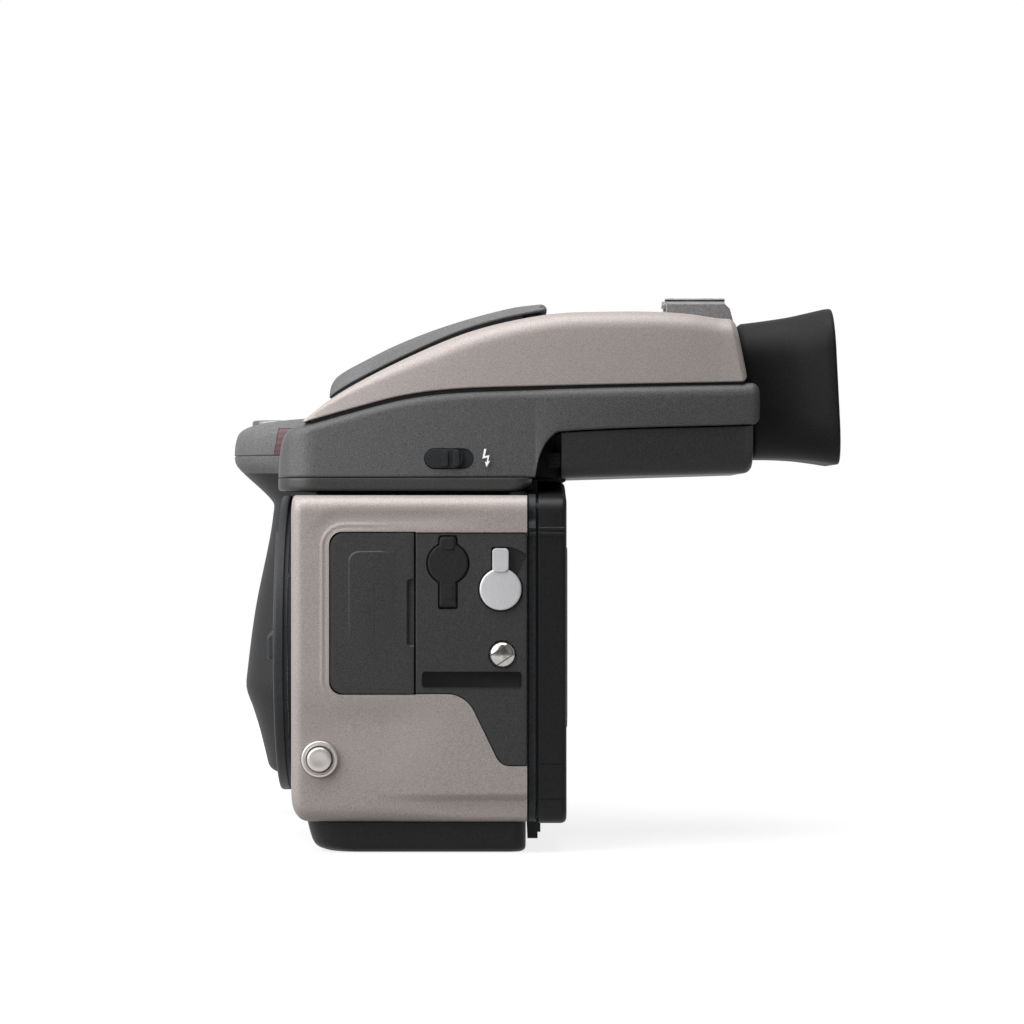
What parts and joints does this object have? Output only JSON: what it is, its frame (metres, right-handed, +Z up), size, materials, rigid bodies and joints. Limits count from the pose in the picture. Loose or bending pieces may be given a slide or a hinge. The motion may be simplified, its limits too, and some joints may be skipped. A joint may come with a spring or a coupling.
{
  "type": "medium format reflex camera body",
  "caption": "Modular medium format reflex camera body with a removable prism viewfinder, hand grip, mirror box, front cap and rear cover.",
  "frame": {"origin": "mouth of the large tripod socket in the underside of the base", "axes": "+Z up, -Y to the front along the lens axis, +X to the camera's left side, away from the grip"},
  "size_m": [0.1553, 0.1519, 0.131],
  "materials": {
    "shell_paint": "satin metallic paint",
    "housing_paint": "satin metallic paint, fine grain",
    "panel_plastic": "fine matte texture",
    "black_plastic": "matte moulded",
    "black_rubber": "matte",
    "grip_rubber": "matte, fine grain",
    "satin_metal": "bead blasted, satin",
    "bright_steel": "polished",
    "cast_alloy": "black anodised casting",
    "gloss_black": "gloss",
    "clear_glass": "polished",
    "mirror_coat": "silvered",
    "board_green": "solder mask",
    "lamp_red": "clear red",
    "display_grey": "gloss window",
    "flash_clear": "ribbed clear window"
  },
  "bodies": {
    "camera_body": {"body_shell": "shell_paint", "chassis": "cast_alloy", "lens_mount": "bright_steel", "mount_screws": "bright_steel", "lens_contacts": "black_plastic", "release_bezel": "satin_metal", "side_panel": "panel_plastic", "name_plate": "gloss_black", "door_hinge_pin": "bright_steel", "accessory_socket": "black_plastic", "sync_terminal": "bright_steel", "strap_lug_left": "bright_steel", "strap_lug_right": "bright_steel", "base_foot": "black_plastic", "tripod_bushes": "bright_steel", "base_screws": "bright_steel", "rear_frame": "black_plastic", "focusing_screen": "clear_glass", "main_board": "board_green", "drive_motor": "bright_steel", "af_sensor": "black_plastic", "grip_core": "grip_rubber", "grip_top_cover": "housing_paint", "af_lamp_window": "lamp_red", "display_window": "display_grey"},
    "front_cap": {"front_cap": "black_plastic"},
    "rear_cover": {"rear_cover": "black_plastic"},
    "lens_lock": {"lens_lock_pin": "bright_steel"},
    "lens_release": {"release_button": "satin_metal"},
    "accessory_door": {"accessory_door": "panel_plastic"},
    "sync_cover": {"sync_cover": "black_rubber"},
    "back_release": {"back_release_lever": "satin_metal"},
    "mirror": {"reflex_mirror": "mirror_coat", "mirror_frame": "cast_alloy"},
    "curtain_upper": {"curtain_upper": "black_plastic"},
    "curtain_lower": {"curtain_lower": "black_plastic"},
    "finder": {"finder_base": "housing_paint", "finder_housing": "housing_paint", "finder_top_cover": "shell_paint", "finder_tube_cover": "black_plastic", "finder_prism": "clear_glass", "eyepiece_barrel": "black_plastic", "eyepiece_lens": "clear_glass", "eyecup": "black_rubber", "hot_shoe_base": "housing_paint", "hot_shoe_rails": "bright_steel", "flash_hinge_pin": "bright_steel"},
    "flash": {"flash_lid": "housing_paint", "flash_head": "flash_clear"},
    "flash_switch": {"flash_switch": "panel_plastic"},
    "diopter": {"diopter_wheel": "black_plastic"},
    "finder_release": {"finder_release_button": "black_plastic"},
    "shutter": {"shutter_button": "satin_metal"},
    "front_wheel": {"front_wheel": "black_rubber"},
    "rear_wheel": {"rear_wheel": "black_rubber"},
    "power_button": {"power_button": "satin_metal"},
    "drive_button": {"drive_button": "black_plastic"},
    "menu_button": {"menu_button": "black_plastic"},
    "battery": {"battery_pack": "grip_rubber"},
    "battery_release": {"battery_release": "satin_metal"}
  },
  "joints": [
    {"name": "front_cap_pull", "type": "slide", "parent": "camera_body", "child": "front_cap", "axis": [0, -1, 0], "range_m": [0, 0.06]},
    {"name": "rear_cover_pull", "type": "slide", "parent": "camera_body", "child": "rear_cover", "axis": [0, 1, 0], "range_m": [0, 0.05]},
    {"name": "lens_release_press", "type": "slide", "parent": "camera_body", "child": "lens_release", "axis": [-1, 0, 0], "range_m": [0, 0.0015], "stiffness_N_per_m": 800, "springref_m": -0.0005},
    {"name": "lens_lock_slide", "type": "slide", "parent": "camera_body", "child": "lens_lock", "axis": [0, 1, 0], "range_m": [0, 0.0015]},
    {"name": "accessory_door_hinge", "type": "hinge", "parent": "camera_body", "child": "accessory_door", "pos_m": [0.0468, -0.0164, 0.05575], "axis": [0, 0, -1], "range_deg": [0, 100]},
    {"name": "sync_cover_hinge", "type": "hinge", "parent": "camera_body", "child": "sync_cover", "pos_m": [0.0472, 0.00745, 0.0577], "axis": [0, 1, 0], "range_deg": [0, 110], "stiffness_Nm_per_rad": 0.0004, "springref_deg": -5.73},
    {"name": "back_release_turn", "type": "hinge", "parent": "camera_body", "child": "back_release", "pos_m": [0.0475, 0.01965, 0.0613], "axis": [-1, 0, 0], "range_deg": [0, 24], "stiffness_Nm_per_rad": 0.04, "springref_deg": -5.73},
    {"name": "mirror_flip", "type": "hinge", "parent": "camera_body", "child": "mirror", "pos_m": [0, 0.0176, 0.07], "axis": [-1, 0, 0], "range_deg": [0, 45]},
    {"name": "curtain_upper_flip", "type": "hinge", "parent": "camera_body", "child": "curtain_upper", "pos_m": [0, 0.0212, 0.067], "axis": [-1, 0, 0], "range_deg": [0, 85]},
    {"name": "curtain_lower_flip", "type": "hinge", "parent": "camera_body", "child": "curtain_lower", "pos_m": [0, 0.0212, 0.0276], "axis": [1, 0, 0], "range_deg": [0, 85]},
    {"name": "finder_lift", "type": "slide", "parent": "camera_body", "child": "finder", "axis": [0, 0, 1], "range_m": [0, 0.05]},
    {"name": "flash_lid_hinge", "type": "hinge", "parent": "finder", "child": "flash", "pos_m": [0, 0.0293, 0.12749], "axis": [-1, 0, 0], "range_deg": [0, 45]},
    {"name": "flash_switch_slide", "type": "slide", "parent": "finder", "child": "flash_switch", "axis": [0, 1, 0], "range_m": [0, 0.0023], "stiffness_N_per_m": 800, "springref_m": -0.0005},
    {"name": "diopter_turn", "type": "hinge", "parent": "finder", "child": "diopter", "pos_m": [-0.033, 0.0679, 0.1041], "axis": [-1, 0, 0], "range_deg": [-150, 150]},
    {"name": "finder_release_press", "type": "slide", "parent": "finder", "child": "finder_release", "axis": [-1, 0, 0], "range_m": [0, 0.0018], "stiffness_N_per_m": 800, "springref_m": -0.0005},
    {"name": "shutter_press", "type": "slide", "parent": "camera_body", "child": "shutter", "axis": [0, 0, -1], "range_m": [0, 0.0012], "stiffness_N_per_m": 800, "springref_m": -0.0005},
    {"name": "front_wheel_turn", "type": "hinge", "parent": "camera_body", "child": "front_wheel", "pos_m": [-0.076, -0.0275, 0.1], "axis": [1, 0, 0], "continuous": true},
    {"name": "rear_wheel_turn", "type": "hinge", "parent": "camera_body", "child": "rear_wheel", "pos_m": [-0.08, 0.0145, 0.0981], "axis": [0, 0, 1], "continuous": true},
    {"name": "power_button_press", "type": "slide", "parent": "camera_body", "child": "power_button", "axis": [0, 0, -1], "range_m": [0, 0.0006], "stiffness_N_per_m": 800, "springref_m": -0.0005},
    {"name": "drive_button_press", "type": "slide", "parent": "camera_body", "child": "drive_button", "axis": [0, 0, -1], "range_m": [0, 0.0006], "stiffness_N_per_m": 800, "springref_m": -0.0005},
    {"name": "menu_button_press", "type": "slide", "parent": "camera_body", "child": "menu_button", "axis": [0, 0, -1], "range_m": [0, 0.0006], "stiffness_N_per_m": 800, "springref_m": -0.0005},
    {"name": "battery_slide", "type": "slide", "parent": "camera_body", "child": "battery", "axis": [0, 0, -1], "range_m": [0, 0.07]},
    {"name": "battery_release_press", "type": "slide", "parent": "camera_body", "child": "battery_release", "axis": [0, 0, 1], "range_m": [0, 0.0015], "stiffness_N_per_m": 800, "springref_m": -0.0005}
  ],
  "couplings": [
    {"joint": "lens_lock_slide", "follows": "lens_release_press", "ratio": 1},
    {"joint": "curtain_upper_flip", "follows": "mirror_flip", "ratio": 1.8889},
    {"joint": "curtain_lower_flip", "follows": "mirror_flip", "ratio": 1.8889}
  ]
}
